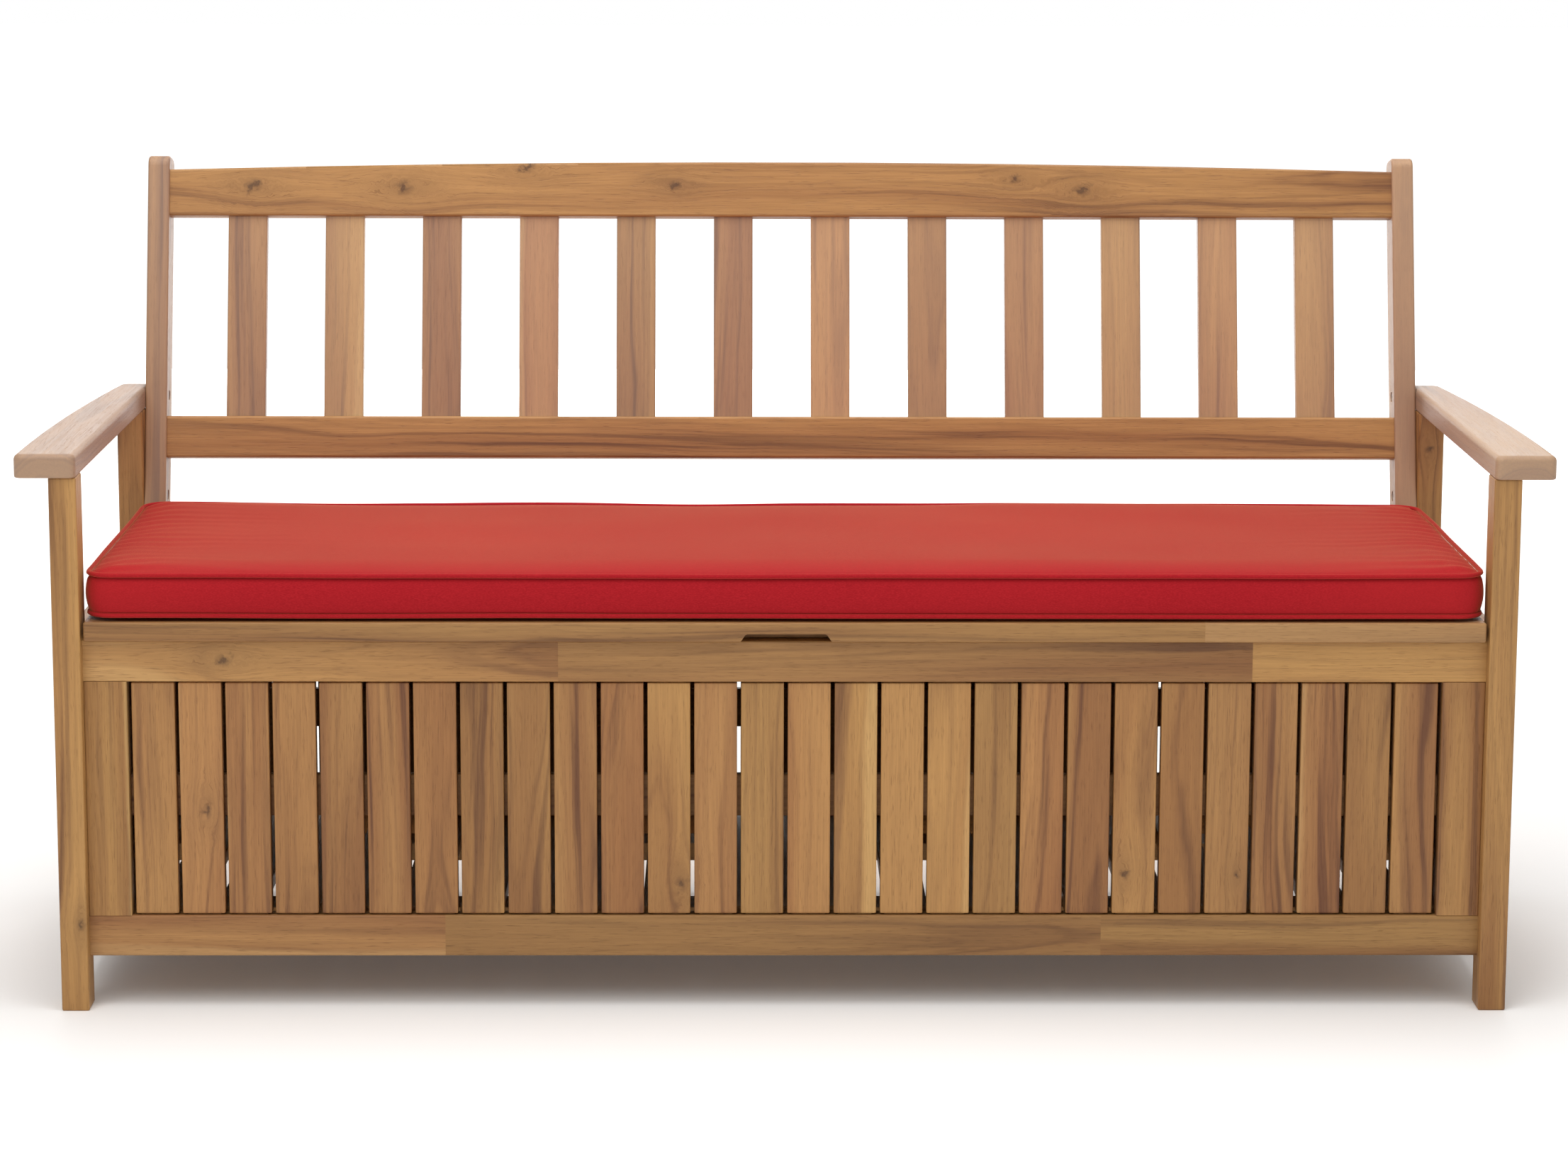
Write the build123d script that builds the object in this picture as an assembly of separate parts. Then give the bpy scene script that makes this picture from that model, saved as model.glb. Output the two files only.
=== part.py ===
from build123d import *
import math
import os

# A slatted garden storage bench: a box with a hinged seat lid, a leaning back, two arms and a cushion.
# Millimetres. X runs along the bench, the front faces -Y, Z is up, and the feet stand on Z = 0.
# Depths are first measured back from the front legs' front face, then placed by at().

# ---- driving dimensions ----
overall_width = 1600
overall_height = 858
frame_width = 1530          # over the outer faces of the legs
leg_width = 29
leg_depth = 36
rear_leg_depth = 457        # where the rear legs start
arris = 2                   # radius of an eased long edge

panel_recess = 15           # long panels stand this far behind the legs' faces
side_recess = 4
panel_thickness = 21
rail_height = 44
panel_bottom = 56
panel_top = 397
slat_width = 45
slat_thickness = 15
slat_recess = 3
slat_end_gap = 1.5
tongue_thickness = 8
tongue_length = 8
tongue_inset = 5
long_panel_slats = 28
side_panel_slats = 8
batten_height = 45
batten_thickness = 12

floor_top = 104
floor_slat_thickness = 16
floor_slats = 23
floor_slat_pitch = 64.6
floor_batten_thickness = 20
floor_batten_depths = (90, 358)
housing = 10                # how far a floor batten enters a side rail, and a groove stops short

lid_bottom = 398
seat_top = 419
lid_width = 1466
lid_front = 2
lid_boards = 7
lid_board_gap = 6
lid_arris = 2.5
lid_batten_xs = (-640, -213, 213, 640)
lid_batten_depths = (40, 424)
lid_batten_thickness = 18
notch_bottom_width = 98
notch_top_width = 84
notch_height = 9
notch_depth = 27

hinge_depth = 436.5         # hinge pins, behind the front legs' front face
hinge_xs = (-520, 0, 520)
knuckle_radius = 3
pin_radius = 1.25
pin_play = 0.05
knuckle_length = 12
knuckle_count = 5
knuckle_play = 0.15         # at each end of a knuckle
knuckle_relief = 0.4        # around the other leaf's knuckles
leaf_thickness = 2
hinge_rail_inset = 3        # its rear edge, in front of the rear legs' rear faces
leaf_height = 15
leaf_offset = 3.5           # outer face of a leaf, from the pin
leaf_screw_drop = 9.5

arm_bottom = 572
arm_thickness = 25
arm_overhang = 5
arm_back = 520
arm_rear_width = 33
arm_top_radius = 6
arm_corner_radii = (8, 12)      # inner corners, and the rear outer one

lean = 13.5                 # degrees, back from upright
stile_width = 25
stile_depth = 42
stile_foot_depth = 445.3    # front face of a back stile where it meets the seat
stile_top_radius = 12
back_rail_recess = 4
back_rail_thickness = 25
lower_rail_span = (102, 150)    # up the lean, from the stile's foot
top_rail_span = (383.5, 437.5)
top_rail_crown = 10
back_slats = 12
back_slat_recess = 5
mortise_depth = 12

bolt_radius = 3
bolt_head_radius = 6
bolt_head_height = 5
panel_bolt_length = 62
stile_bolt_length = 44
socket_radius = 2.5
socket_depth = 3
counterbore = 6
nut_radius = 5
nut_length = 14
panel_nut_inset = 25        # from a leg's inner face into the rail
arm_nut_inset = 16          # from a leg's inner face into the arm or leg
dowel_radius = 4
leg_dowel = (20, 16)        # below and above the foot of an arm
side_dowel = 18             # half lengths, and how far apart a pair stands
side_dowel_offset = 11
panel_dowel = 15
panel_dowel_offset = 12
back_dowel = (20, 15)
back_dowel_offset = 13
screw_head_radius = 3.5
screw_radius = 1.75
screw_head_height = 2.5
lid_screw_length = 32
front_screw_inset = 9       # the front screws, from the battens' front ends
hinge_screw_length = 18
hinge_screw_xs = (-18, 0, 18)
rail_screw_length = 42
rail_screw_xs = (-620, -372, -124, 124, 372, 620)
arm_bolt_height = arm_bottom + arm_thickness / 2
leg_bolt_height = 472

cushion_width = 1462
cushion_front = 5
cushion_depth = 434
cushion_thickness = 52
cushion_radius = 13
cushion_corner_radius = 20
cushion_clearance = 0.5

# ---- worked out from them ----
half_frame = frame_width / 2
inner = half_frame - leg_width          # inner faces of the legs
stile_inner = inner - stile_width
lean_sin, lean_cos = math.sin(math.radians(lean)), math.cos(math.radians(lean))
stile_length = (overall_height - seat_top - stile_top_radius * (1 - lean_sin)) / lean_cos + stile_top_radius
rear_most = (stile_foot_depth + (stile_length - stile_top_radius) * lean_sin
             + (stile_depth - stile_top_radius) * lean_cos + stile_top_radius)
overall_depth = rear_most + arm_overhang
front_y = arm_overhang - overall_depth / 2
hinge_z = seat_top - knuckle_radius
panel_inner_x = inner - slat_width      # inner edges of a long panel's stiles
slat_low = panel_bottom + rail_height
slat_high = panel_top - rail_height
batten_z = ((slat_low + slat_high - batten_height) / 2, (slat_low + slat_high + batten_height) / 2)
groove_z = (slat_low - tongue_length, slat_high + tongue_length)
from_start = (Align.CENTER, Align.CENTER, Align.MIN)


def at(depth):
    """The Y of a depth measured back from the front legs' front face."""
    return front_y + depth


def block(x, y, z):
    """A plain box between pairs of faces."""
    size = [high - low for low, high in (x, y, z)]
    centre = [(high + low) / 2 for low, high in (x, y, z)]
    return Pos(*centre) * Box(*size)


def board(x, y, z, ends=False, ease=arris):
    """A length of timber with its long arrises eased, and its end arrises too if ends is set."""
    piece = block(x, y, z)
    spans = [high - low for low, high in (x, y, z)]
    along = (Axis.X, Axis.Y, Axis.Z)[spans.index(max(spans))]
    edges = piece.edges() if ends else piece.edges().filter_by(along)
    return fillet(edges, ease)


def rod(start, end, radius):
    """A round bar between two points."""
    path = Vector(*end) - Vector(*start)
    return Plane(origin=start, z_dir=path) * Cylinder(radius, path.length, align=from_start)


def mirrored(piece):
    return mirror(piece, Plane.YZ)


def spread(count, width, pitch):
    """Low and high faces of equal slats centred on X = 0."""
    first = -(count - 1) * pitch / 2
    return [(first + i * pitch - width / 2, first + i * pitch + width / 2) for i in range(count)]


# ---- legs, arms ----
def leg(depth):
    """A left leg: square timber, eased all round."""
    return board((-half_frame, -inner), (at(depth), at(depth + leg_depth)), (0, arm_bottom), ends=True)


def armrest():
    """A left arm: straight inside, bowed outside, narrower at the back, with a soft top edge."""
    front, back = at(-arm_overhang), at(arm_back)
    outer = overall_width / 2
    bow = TangentArc((outer, front), (inner + arm_rear_width, back), tangent=(0, 1))
    outline = bow + Polyline(bow @ 1, (inner, back), (inner, front), bow @ 0)
    arm = extrude(Plane.XY.offset(arm_bottom) * make_face(outline), arm_thickness)
    uprights = arm.edges().filter_by(Axis.Z).sort_by(Axis.Y)
    arm = fillet(uprights[:2], arm_corner_radii[0])
    rear_outer = arm.edges().filter_by(Axis.Z).sort_by(lambda e: e.center().X + e.center().Y)[-1]
    arm = fillet(rear_outer, arm_corner_radii[1])
    arm = fillet(arm.edges().group_by(Axis.Z)[-1], arm_top_radius)
    arm = fillet(arm.edges().group_by(Axis.Z)[0], arris)
    return mirrored(arm)


# ---- slatted panels ----
def slat(x, y, z):
    """An upright panel slat with a thin tongue at each end, inset from its two narrow faces."""
    thickness_inset = (slat_thickness - tongue_thickness) / 2
    faces_y = y[1] - y[0] < x[1] - x[0]
    inset_x, inset_y = (tongue_inset, thickness_inset) if faces_y else (thickness_inset, tongue_inset)
    tongue = block((x[0] + inset_x, x[1] - inset_x), (y[0] + inset_y, y[1] - inset_y),
                   (z[0] - tongue_length, z[1] + tongue_length))
    return board(x, y, z, ends=True, ease=1.5) + tongue


def long_panel(face, inward):
    """The front or rear panel's pieces. face is the depth of its outer face, inward is +1 or -1."""
    def layer(start, thickness):
        return tuple(sorted((at(face + inward * start), at(face + inward * (start + thickness)))))

    frame, slats = layer(0, panel_thickness), layer(slat_recess, slat_thickness)
    groove = layer(slat_recess + (slat_thickness - tongue_thickness) / 2, tongue_thickness)
    grooves = block((-panel_inner_x, panel_inner_x), groove, groove_z)
    pitch = (2 * panel_inner_x + slat_width) / (long_panel_slats + 1)
    slat_z = (slat_low + slat_end_gap, slat_high - slat_end_gap)
    batten = layer(slat_recess + slat_thickness, batten_thickness)
    pieces = {
        "top_rail": board((-inner, inner), frame, (slat_high, panel_top)) - grooves,
        "bottom_rail": board((-inner, inner), frame, (panel_bottom, slat_low)) - grooves,
        "stile_left": board((-inner, -panel_inner_x), frame, (slat_low, slat_high), ease=1),
        "slats": [slat(x, slats, slat_z) for x in spread(long_panel_slats, slat_width, pitch)],
        "mid_batten": board((-panel_inner_x, panel_inner_x), batten, batten_z),
    }
    pieces["stile_right"] = mirrored(pieces["stile_left"])
    return pieces


def side_panel():
    """The left side panel's pieces, between the left legs."""
    def layer(start, thickness):
        outer = -half_frame + side_recess
        return outer + start, outer + start + thickness

    along = (at(leg_depth), at(rear_leg_depth))
    frame, slats = layer(0, panel_thickness), layer(slat_recess, slat_thickness)
    groove = layer(slat_recess + (slat_thickness - tongue_thickness) / 2, tongue_thickness)
    grooves = block(groove, (along[0] + housing, along[1] - housing), groove_z)
    gap = (along[1] - along[0] - side_panel_slats * slat_width) / (side_panel_slats + 1)
    starts = [along[0] + gap + i * (slat_width + gap) for i in range(side_panel_slats)]
    slat_z = (slat_low + slat_end_gap, slat_high - slat_end_gap)
    batten = layer(slat_recess + slat_thickness, batten_thickness)
    return {
        "top_rail": board(frame, along, (slat_high, panel_top)) - grooves,
        "bottom_rail": board(frame, along, (panel_bottom, slat_low)) - grooves - floor_battens(),
        "slats": [slat(slats, (y, y + slat_width), slat_z) for y in starts],
        "mid_batten": board(batten, along, batten_z),
    }


# ---- floor ----
def floor_battens():
    """Two bearers across the box, housed in the side panels' bottom rails."""
    top = floor_top - floor_slat_thickness
    reach = half_frame - side_recess - panel_thickness + housing
    return [block((-reach, reach), (at(d), at(d + batten_height)), (top - floor_batten_thickness, top))
            for d in floor_batten_depths]


def floor_boards():
    along = (at(panel_recess + panel_thickness + 1), at(rear_leg_depth - 1))
    return [board(x, along, (floor_top - floor_slat_thickness, floor_top), ends=True, ease=1.5)
            for x in spread(floor_slats, slat_width, floor_slat_pitch)]


# ---- lid ----
def finger_notch():
    """A shallow flared recess under the lid's front edge."""
    outline = Polygon((-notch_bottom_width / 2, lid_bottom - 1), (notch_bottom_width / 2, lid_bottom - 1),
                      (notch_top_width / 2, lid_bottom + notch_height),
                      (-notch_top_width / 2, lid_bottom + notch_height), align=None)
    outline = fillet(outline.vertices().group_by(Axis.Y)[-1], 5)
    return extrude(Plane.XZ.offset(-at(lid_front + notch_depth)) * outline, notch_depth + 10)


def lid_planks():
    """The lid's lengthwise boards, front board first."""
    back = hinge_depth - leaf_offset
    width = (back - lid_front - (lid_boards - 1) * lid_board_gap) / lid_boards
    along = (-lid_width / 2, lid_width / 2)
    planks = []
    for i in range(lid_boards):
        start = lid_front + i * (width + lid_board_gap)
        across = (at(start), at(start + width))
        planks.append(board(along, across, (lid_bottom, seat_top), ends=True, ease=lid_arris))
    planks[0] -= finger_notch()
    return planks


def lid_battens():
    along = [at(depth) for depth in lid_batten_depths]
    z = (lid_bottom - lid_batten_thickness, lid_bottom)
    return [board((x - batten_height / 2, x + batten_height / 2), along, z, ends=True) for x in lid_batten_xs]


# ---- hinges ----
def hinge_leaf(x, fixed):
    """One butt hinge leaf with its knuckles. The fixed leaf takes the odd ones, at both ends."""
    half = knuckle_length * knuckle_count / 2
    y = at(hinge_depth)
    side = 1 if fixed else -1
    plate_y = sorted((y + side * leaf_offset, y + side * (leaf_offset - leaf_thickness)))
    leaf = block((x - half, x + half), plate_y, (hinge_z - leaf_height, hinge_z))
    for i in range(knuckle_count):
        low, high = x - half + i * knuckle_length, x - half + (i + 1) * knuckle_length
        if (i % 2 == 0) == fixed:
            leaf += rod((low + knuckle_play, y, hinge_z), (high - knuckle_play, y, hinge_z), knuckle_radius)
        else:
            start, end = (low - knuckle_play, y, hinge_z), (high + knuckle_play, y, hinge_z)
            leaf -= rod(start, end, knuckle_radius + knuckle_relief)
    hole = pin_radius if fixed else pin_radius + pin_play
    return leaf - rod((x - half - 1, y, hinge_z), (x + half + 1, y, hinge_z), hole)


def hinge_pin(x):
    half = knuckle_length * knuckle_count / 2
    return rod((x - half, at(hinge_depth), hinge_z), (x + half, at(hinge_depth), hinge_z), pin_radius)


# ---- back ----
back_frame = Pos(0, at(stile_foot_depth), seat_top) * Rot(-lean, 0, 0)


def back_point(x, behind, up):
    """A point of the leaning back: x along, behind its front face, up the lean from the seat."""
    point = back_frame * Pos(x, behind, up)
    return tuple(point.position)


def up_lean(behind, z):
    """How far up the lean a height is, at a distance behind the front face."""
    return (z - seat_top + behind * lean_sin) / lean_cos


def back_stile():
    """The left stile, with a rounded head, cut level where it stands on the hinge rail."""
    bar = block((-inner, -stile_inner), (0, stile_depth), (-30, stile_length))
    head = bar.edges().filter_by(Axis.X).group_by(Axis.Z)[-1]
    bar = fillet(head, stile_top_radius)
    rounded = bar.edges().filter_by(GeomType.CIRCLE) + bar.edges().filter_by(Axis.Y).group_by(Axis.Z)[-1]
    bar = fillet(bar.edges().filter_by(Axis.Z) + rounded, 3)
    return back_frame * bar - block((-half_frame, 0), (at(300), at(700)), (300, seat_top))


def back_mortises():
    """The slots in the back rails that the back slats stand in."""
    gap = (2 * stile_inner - back_slats * slat_width) / (back_slats + 1)
    behind = back_rail_recess + back_slat_recess
    up = (lower_rail_span[1] - mortise_depth, top_rail_span[0] + mortise_depth)
    return [block(x, (behind, behind + slat_thickness), up)
            for x in spread(back_slats, slat_width, slat_width + gap)]


def back_slat(mortise):
    box = mortise.bounding_box()
    return back_frame * board((box.min.X, box.max.X), (box.min.Y, box.max.Y), (box.min.Z, box.max.Z))


def back_lower_rail():
    behind = (back_rail_recess, back_rail_recess + back_rail_thickness)
    rail = board((-stile_inner, stile_inner), behind, lower_rail_span, ease=3)
    return back_frame * (rail - back_mortises())


def back_top_rail():
    """The head rail, whose upper edge is one long shallow arch."""
    low, high = top_rail_span
    arch = ThreePointArc((-stile_inner, high), (0, high + top_rail_crown), (stile_inner, high))
    outline = arch + Polyline(arch @ 1, (stile_inner, low), (-stile_inner, low), arch @ 0)
    rail = extrude(Plane.XZ.offset(-back_rail_recess) * make_face(outline), -back_rail_thickness)
    ends = rail.edges().filter_by(Axis.Z)
    long_edges = [e for e in rail.edges() if e not in ends and e.length > back_rail_thickness + 1]
    return back_frame * (fillet(long_edges, 3) - back_mortises())


# ---- fasteners: each is a shape, and is cut from every timber it enters ----
def bolt(start, direction, length):
    """A flat-headed bolt with a hexagon socket. start is the outer face of its head."""
    head_end = start + direction * bolt_head_height
    tip = start + direction * length
    shape = rod(start, head_end, bolt_head_radius - 0.2) + rod(start, tip, bolt_radius)
    socket = Plane(origin=start, z_dir=direction) * RegularPolygon(socket_radius, 6, major_radius=True)
    return shape - extrude(socket, socket_depth)


def bolt_hole(start, direction, length):
    mouth = start - direction * (counterbore - bolt_head_height + 20)
    seat = start + direction * bolt_head_height
    return rod(mouth, seat, bolt_head_radius) + rod(start, start + direction * length, bolt_radius)


def side_bolts():
    """Left-hand bolts: where each starts, its direction and length, and where its nut lies and opens."""
    found = []
    for depth, opens in ((panel_recess + panel_thickness / 2, 1), (rear_leg_depth + panel_thickness / 2, -1)):
        for z in (panel_bottom + rail_height / 2, panel_top - rail_height / 2):
            start = Vector(-half_frame + counterbore - bolt_head_height, at(depth), z)
            nut = Vector(-inner + panel_nut_inset, at(depth), z)
            found.append((start, Vector(1, 0, 0), panel_bolt_length, nut, Vector(0, opens, 0)))
    mid = stile_depth / 2
    for z, opens in ((arm_bolt_height, Vector(0, 0, -1)), (leg_bolt_height, Vector(0, 1, 0))):
        spot = Vector(*back_point(0, mid, up_lean(mid, z)))
        start = Vector(-stile_inner - counterbore + bolt_head_height, spot.Y, z)
        nut = Vector(-inner - arm_nut_inset, spot.Y, z)
        found.append((start, Vector(-1, 0, 0), stile_bolt_length, nut, opens))
    return found


def dowel_lines():
    """Left-hand dowels, as pairs of end points."""
    lines = []
    leg_x = -half_frame + leg_width / 2
    for depth in (leg_depth / 2, rear_leg_depth + leg_depth / 2):
        foot, head = arm_bottom - leg_dowel[0], arm_bottom + leg_dowel[1]
        lines.append(((leg_x, at(depth), foot), (leg_x, at(depth), head)))
    side_x = -half_frame + side_recess + panel_thickness / 2
    for joint in (leg_depth, rear_leg_depth):
        for rail in (panel_bottom + rail_height / 2, panel_top - rail_height / 2):
            for z in (rail - side_dowel_offset, rail + side_dowel_offset):
                lines.append(((side_x, at(joint - side_dowel), z), (side_x, at(joint + side_dowel), z)))
    stile_x = -inner + slat_width / 2
    for depth in (panel_recess + panel_thickness / 2, rear_leg_depth + panel_thickness / 2):
        for joint in (slat_low, slat_high):
            for x in (stile_x - panel_dowel_offset, stile_x + panel_dowel_offset):
                lines.append(((x, at(depth), joint - panel_dowel), (x, at(depth), joint + panel_dowel)))
    behind = back_rail_recess + back_rail_thickness / 2
    into_rail, into_stile = -stile_inner + back_dowel[0], -stile_inner - back_dowel[1]
    for low, high in (lower_rail_span, top_rail_span):
        for up in ((low + high) / 2 - back_dowel_offset, (low + high) / 2 + back_dowel_offset):
            lines.append((back_point(into_rail, behind, up), back_point(into_stile, behind, up)))
    return lines


def screw(tip_from, direction, length):
    """A countersunk wood screw. tip_from is the centre of its flat head."""
    turn = Plane(origin=tip_from, z_dir=direction)
    head = turn * Cone(screw_head_radius, screw_radius, screw_head_height, align=from_start)
    return head + rod(tip_from, tip_from + direction * length, screw_radius)


def lid_screw_set():
    """One screw up through each batten into each lid board."""
    planks = lid_planks()
    rows = [at(lid_batten_depths[0] + front_screw_inset)] + [plank.center().Y for plank in planks[1:]]
    z = lid_bottom - lid_batten_thickness
    return [screw(Vector(x, y, z), Vector(0, 0, 1), lid_screw_length) for x in lid_batten_xs for y in rows]


def hinge_screw_set(side):
    """Three screws through each leaf: side +1 for the fixed leaves, -1 for the lid's."""
    inner_face = at(hinge_depth) + side * (leaf_offset - leaf_thickness)
    z = hinge_z - leaf_screw_drop
    return [screw(Vector(x + offset, inner_face, z), Vector(0, side, 0), hinge_screw_length)
            for x in hinge_xs for offset in hinge_screw_xs]


def rail_screw_set():
    """Screws down through the hinge rail into the rear panel."""
    y = at(rear_leg_depth + panel_thickness / 2)
    return [screw(Vector(x, y, seat_top), Vector(0, 0, -1), rail_screw_length) for x in rail_screw_xs]


# ---- cushion ----
def cushion():
    """The envelope of the loose seat cushion: soft-cornered, resting just clear of the lid."""
    low = seat_top + cushion_clearance
    across = (at(cushion_front), at(cushion_front + cushion_depth))
    pad = block((-cushion_width / 2, cushion_width / 2), across, (low, low + cushion_thickness))
    pad = fillet(pad.edges().filter_by(Axis.Z), cushion_corner_radius)
    return fillet(pad.edges().group_by(Axis.Z)[0] + pad.edges().group_by(Axis.Z)[-1], cushion_radius)


# ---- assembly ----
def build():
    """Every node's name and its solids."""
    nodes = {}

    def pair(name, left):
        nodes[name + "_left"] = left
        nodes[name + "_right"] = [mirrored(p) for p in left] if isinstance(left, list) else mirrored(left)

    pair("front_leg", leg(0))
    pair("rear_leg", leg(rear_leg_depth))
    pair("armrest", armrest())
    pair("back_stile", back_stile())
    nodes["back_lower_rail"] = back_lower_rail()
    nodes["back_top_rail"] = back_top_rail()
    for i, mortise in enumerate(back_mortises(), 1):
        nodes[f"back_slat_{i:02d}"] = back_slat(mortise)

    for name, piece in long_panel(panel_recess, 1).items():
        nodes["front_panel_" + name] = piece
    for name, piece in long_panel(rear_leg_depth + panel_thickness, -1).items():
        nodes["rear_panel_" + name] = piece
    for name, piece in side_panel().items():
        pair("side_" + name, piece)

    nodes["floor_battens"] = floor_battens()
    nodes["floor_slats"] = floor_boards()
    rail_y = (at(hinge_depth + leaf_offset), at(rear_leg_depth + leg_depth - hinge_rail_inset))
    nodes["hinge_rail"] = board((-inner, inner), rail_y, (panel_top, seat_top), ease=2.5)

    planks = lid_planks()
    nodes["lid_front_board"] = planks[0]
    nodes["lid_boards"] = planks[1:]
    nodes["lid_battens"] = lid_battens()
    nodes["hinge_fixed_leaves"] = [hinge_leaf(x, True) for x in hinge_xs]
    nodes["hinge_lid_leaves"] = [hinge_leaf(x, False) for x in hinge_xs]
    nodes["hinge_pins"] = [hinge_pin(x) for x in hinge_xs]

    bolts, holes, nuts = [], [], []
    for start, direction, length, nut, opens in side_bolts():
        bolts.append(bolt(start, direction, length))
        holes.append(bolt_hole(start, direction, length))
        barrel = rod(nut - opens * (nut_length / 2), nut + opens * (nut_length / 2), nut_radius)
        nuts.append(barrel - rod(nut - direction * 20, nut + direction * 20, bolt_radius))
        holes.append(rod(nut - opens * (nut_length / 2), nut + opens * 40, nut_radius))
    dowels = [rod(start, end, dowel_radius) for start, end in dowel_lines()]
    nodes["frame_bolts"] = bolts + [mirrored(b) for b in bolts]
    nodes["barrel_nuts"] = nuts + [mirrored(n) for n in nuts]
    nodes["dowels"] = dowels + [mirrored(d) for d in dowels]
    nodes["hinge_rail_screws"] = rail_screw_set() + hinge_screw_set(1)
    nodes["lid_screws"] = lid_screw_set() + hinge_screw_set(-1)
    nodes["cushion"] = cushion()

    bore(nodes, holes + [mirrored(h) for h in holes] + nodes["dowels"], ("leg", "armrest", "stile", "rail"))
    bore(nodes, nodes["hinge_rail_screws"], ("hinge_rail", "rear_panel_top_rail", "hinge_fixed_leaves"))
    bore(nodes, nodes["lid_screws"], ("lid_front_board", "lid_boards", "lid_battens", "hinge_lid_leaves"))
    return nodes


def bore(nodes, tools, names):
    """Cut each tool from the named timbers and leaves that it enters."""
    metal = ("frame_bolts", "barrel_nuts", "dowels", "hinge_rail_screws", "lid_screws")
    for node, shape in nodes.items():
        if node in metal or not any(name in node for name in names):
            continue
        solids = shape if isinstance(shape, list) else [shape]
        cut = []
        for solid in solids:
            reach = solid.bounding_box()
            near = [t for t in tools if meets(reach, t.bounding_box())]
            cut.append(solid - near if near else solid)
        nodes[node] = cut if isinstance(shape, list) else cut[0]


def meets(a, b):
    return all(getattr(a.min, k) < getattr(b.max, k) and getattr(b.min, k) < getattr(a.max, k) for k in "XYZ")


def main():
    os.makedirs("parts", exist_ok=True)
    nodes = build()
    for name, shape in nodes.items():
        solids = [s for item in (shape if isinstance(shape, list) else [shape]) for s in item.solids()]
        export_step(Compound(children=solids) if len(solids) > 1 else solids[0], f"parts/{name}.step")
    print(len(nodes), "nodes; depth", round(overall_depth, 2), "front legs at Y", round(front_y, 2))
    print("hinge axis at", [0, round(at(hinge_depth), 3), hinge_z])


main()
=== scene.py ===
import math

import bpy
from mathutils import Matrix, Vector, noise


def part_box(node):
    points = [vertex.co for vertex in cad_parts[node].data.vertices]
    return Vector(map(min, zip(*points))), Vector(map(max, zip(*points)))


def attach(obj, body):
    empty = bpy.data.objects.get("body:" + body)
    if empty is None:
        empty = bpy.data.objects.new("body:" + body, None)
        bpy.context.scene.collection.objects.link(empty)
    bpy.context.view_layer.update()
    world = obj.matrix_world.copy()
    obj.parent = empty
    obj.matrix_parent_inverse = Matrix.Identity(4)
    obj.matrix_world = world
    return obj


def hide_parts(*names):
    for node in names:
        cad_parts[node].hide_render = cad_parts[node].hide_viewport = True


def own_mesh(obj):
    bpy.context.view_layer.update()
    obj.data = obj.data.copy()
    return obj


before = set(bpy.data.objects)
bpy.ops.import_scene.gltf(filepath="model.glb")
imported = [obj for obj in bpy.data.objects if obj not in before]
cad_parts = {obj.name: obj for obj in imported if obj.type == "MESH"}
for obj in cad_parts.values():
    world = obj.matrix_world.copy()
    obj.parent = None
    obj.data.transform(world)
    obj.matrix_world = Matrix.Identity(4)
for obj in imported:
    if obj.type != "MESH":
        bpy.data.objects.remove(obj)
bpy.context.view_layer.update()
print("frame loaded:", len(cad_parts), "timbers and fittings")


def clearSelection():
    for thing in bpy.context.selected_objects:
        thing.select_set(False)


def makeActive(thing):
    clearSelection()
    thing.select_set(True)
    bpy.context.view_layer.objects.active = thing


def pickEdges(thing, wanted):
    # leaves the thing in edit mode with only the wanted edges selected
    makeActive(thing)
    bpy.ops.object.mode_set(mode="EDIT")
    bpy.ops.mesh.select_mode(type="EDGE")
    bpy.ops.mesh.select_all(action="DESELECT")
    bpy.ops.object.mode_set(mode="OBJECT")
    for edge in thing.data.edges:
        edge.select = wanted(*(thing.data.vertices[i].co for i in edge.vertices))
    bpy.ops.object.mode_set(mode="EDIT")


def applyModifiers(thing):
    makeActive(thing)
    for modifier in list(thing.modifiers):
        bpy.ops.object.modifier_apply(modifier=modifier.name)


def tint(red, green, blue):
    # a screen colour, 0 to 255, as the linear colour that a shader takes
    shares = [v / 255 for v in (red, green, blue)]
    return [(v / 12.92 if v < 11 / 255 else ((v + 0.055) / 1.055) ** 2.4) for v in shares] + [1]


def node(tree, kind, inputs, output=0, **settings):
    made = tree.nodes.new("ShaderNode" + kind)
    for key, value in settings.items():
        setattr(made, key, value)
    for key, value in inputs.items():
        if isinstance(value, bpy.types.NodeSocket):
            tree.links.new(value, made.inputs[key])
        else:
            made.inputs[key].default_value = value
    return made.outputs[output]


def calc(tree, operation, a, b=0.0, c=0.0):
    return node(tree, "Math", {0: a, 1: b, 2: c}, operation=operation)


def vectorCalc(tree, operation, a, b):
    return node(tree, "VectorMath", {0: a, 1: b}, operation=operation)


def split(tree, vector):
    parts = tree.nodes.new("ShaderNodeSeparateXYZ")
    tree.links.new(vector, parts.inputs[0])
    return parts.outputs


def ease(tree, value, low, high, newLow=0.0, newHigh=1.0):
    # carries a value smoothly from one range into another
    spans = {"Value": value, "From Min": low, "From Max": high, "To Min": newLow, "To Max": newHigh}
    return node(tree, "MapRange", spans, interpolation_type="SMOOTHSTEP")


def mix(tree, factor, a, b, mode="MIX"):
    return node(tree, "Mix", {0: factor, 6: a, 7: b}, output=2, data_type="RGBA", blend_type=mode)


def speckle(tree, place, scale, detail=2.0, output=0):
    return node(tree, "TexNoise", {"Vector": place, "Scale": scale, "Detail": detail}, output=output)


def newMaterial(name):
    material = bpy.data.materials.new(name)
    material.use_nodes = True
    shader = material.node_tree.nodes["Principled BSDF"]
    place = node(material.node_tree, "TexCoord", {}, output="Object")
    return material, material.node_tree, shader, place


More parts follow.
